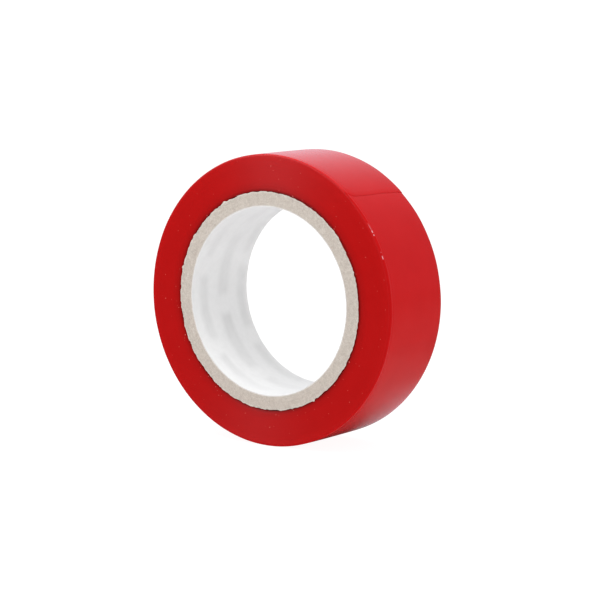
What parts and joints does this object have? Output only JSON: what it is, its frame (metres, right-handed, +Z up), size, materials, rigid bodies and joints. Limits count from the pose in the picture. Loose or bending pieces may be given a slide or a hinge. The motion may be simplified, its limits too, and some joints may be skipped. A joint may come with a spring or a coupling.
{
  "type": "electrical tape roll",
  "caption": "Roll of vinyl electrical tape wound on a spiral paperboard core, with a loose end that lifts and peels off the outermost lap.",
  "frame": {"origin": "middle of the roll on its axis, half way across the tape's width", "axes": "+Y along the roll's axis, away from the side face seen first; +Z up; +X towards the side on which the loose end comes down"},
  "size_m": [0.0599, 0.019, 0.0599],
  "materials": {
    "vinyl_tape": "soft gloss on the tread, satin on the cut side faces",
    "core_board": "uncoated recycled grey board with a fibrous cut edge",
    "liner_paper": "smooth coated white paper"
  },
  "bodies": {
    "roll": {"core_liner": "liner_paper", "core_ply_1": "core_board", "core_ply_2": "core_board", "core_ply_3": "core_board", "core_ply_4": "core_board", "wound_turns": "vinyl_tape"},
    "loose_end_1": {"loose_end_1": "vinyl_tape"},
    "loose_end_2": {"loose_end_2": "vinyl_tape"},
    "loose_end_3": {"loose_end_3": "vinyl_tape"},
    "loose_end_4": {"loose_end_4": "vinyl_tape"},
    "loose_end_5": {"loose_end_5": "vinyl_tape"},
    "loose_end_6": {"loose_end_6": "vinyl_tape"},
    "loose_end_7": {"loose_end_7": "vinyl_tape"},
    "loose_end_8": {"loose_end_8": "vinyl_tape"},
    "loose_end_9": {"loose_end_9": "vinyl_tape"}
  },
  "joints": [
    {"name": "lap_peel", "type": "hinge", "parent": "roll", "child": "loose_end_1", "pos_m": [-0.02212, 0, 0.02026], "axis": [0, -1, 0], "range_deg": [0, 50]},
    {"name": "lap_peel_bend_2", "type": "hinge", "parent": "loose_end_1", "child": "loose_end_2", "pos_m": [-0.01826, 0, 0.0238], "axis": [0, -1, 0], "range_deg": [0, 10]},
    {"name": "lap_peel_bend_3", "type": "hinge", "parent": "loose_end_2", "child": "loose_end_3", "pos_m": [-0.01385, 0, 0.02661], "axis": [0, -1, 0], "range_deg": [0, 10]},
    {"name": "lap_peel_bend_4", "type": "hinge", "parent": "loose_end_3", "child": "loose_end_4", "pos_m": [-0.00902, 0, 0.02862], "axis": [0, -1, 0], "range_deg": [0, 10]},
    {"name": "lap_peel_bend_5", "type": "hinge", "parent": "loose_end_4", "child": "loose_end_5", "pos_m": [-0.00392, 0, 0.02975], "axis": [0, -1, 0], "range_deg": [0, 10]},
    {"name": "lap_peel_bend_6", "type": "hinge", "parent": "loose_end_5", "child": "loose_end_6", "pos_m": [0.00131, 0, 0.02999], "axis": [0, -1, 0], "range_deg": [0, 10]},
    {"name": "end_lift", "type": "hinge", "parent": "loose_end_6", "child": "loose_end_7", "pos_m": [0.0065, 0, 0.02931], "axis": [0, -1, 0], "range_deg": [0, 25]},
    {"name": "end_lift_bend_8", "type": "hinge", "parent": "loose_end_7", "child": "loose_end_8", "pos_m": [0.01149, 0, 0.02774], "axis": [0, -1, 0], "range_deg": [0, 20]},
    {"name": "end_lift_bend_9", "type": "hinge", "parent": "loose_end_8", "child": "loose_end_9", "pos_m": [0.01613, 0, 0.02532], "axis": [0, -1, 0], "range_deg": [0, 20]}
  ],
  "couplings": [
    {"joint": "lap_peel_bend_2", "follows": "lap_peel", "ratio": 0.2},
    {"joint": "lap_peel_bend_3", "follows": "lap_peel", "ratio": 0.2},
    {"joint": "lap_peel_bend_4", "follows": "lap_peel", "ratio": 0.2},
    {"joint": "lap_peel_bend_5", "follows": "lap_peel", "ratio": 0.2},
    {"joint": "lap_peel_bend_6", "follows": "lap_peel", "ratio": 0.2},
    {"joint": "end_lift_bend_8", "follows": "end_lift", "ratio": 0.8},
    {"joint": "end_lift_bend_9", "follows": "end_lift", "ratio": 0.8}
  ]
}
